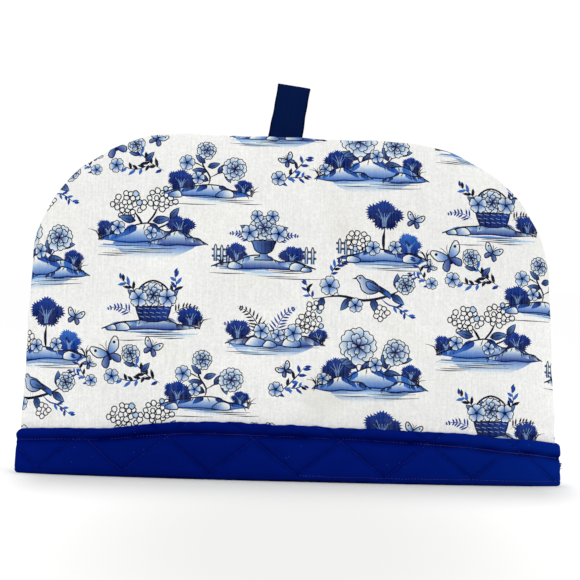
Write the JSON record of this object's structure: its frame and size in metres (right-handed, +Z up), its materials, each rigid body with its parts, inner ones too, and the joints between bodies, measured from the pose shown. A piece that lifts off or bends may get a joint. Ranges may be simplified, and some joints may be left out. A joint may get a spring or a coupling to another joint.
{
  "type": "tea cosy",
  "caption": "Padded arched tea cosy in blue and white printed cotton, with a quilted blue hem band and a navy ribbon loop at the top.",
  "frame": {"origin": "on the surface that the cosy stands on, below the middle of its box", "axes": "+X to the right seen from the front, -Y out of the front panel, +Z up"},
  "size_m": [0.389, 0.0762, 0.2811],
  "materials": {
    "printed_cotton": "plain-woven cotton, warm white, printed in mid and dark blue",
    "quilted_cotton": "matt royal blue cotton, diamond quilted in mauve thread",
    "ribbon": "matt navy grosgrain ribbon"
  },
  "bodies": {
    "root": {"front_panel": "printed_cotton", "back_panel": "printed_cotton", "hem_band": "quilted_cotton", "ribbon_loop": "ribbon"}
  },
  "joints": []
}
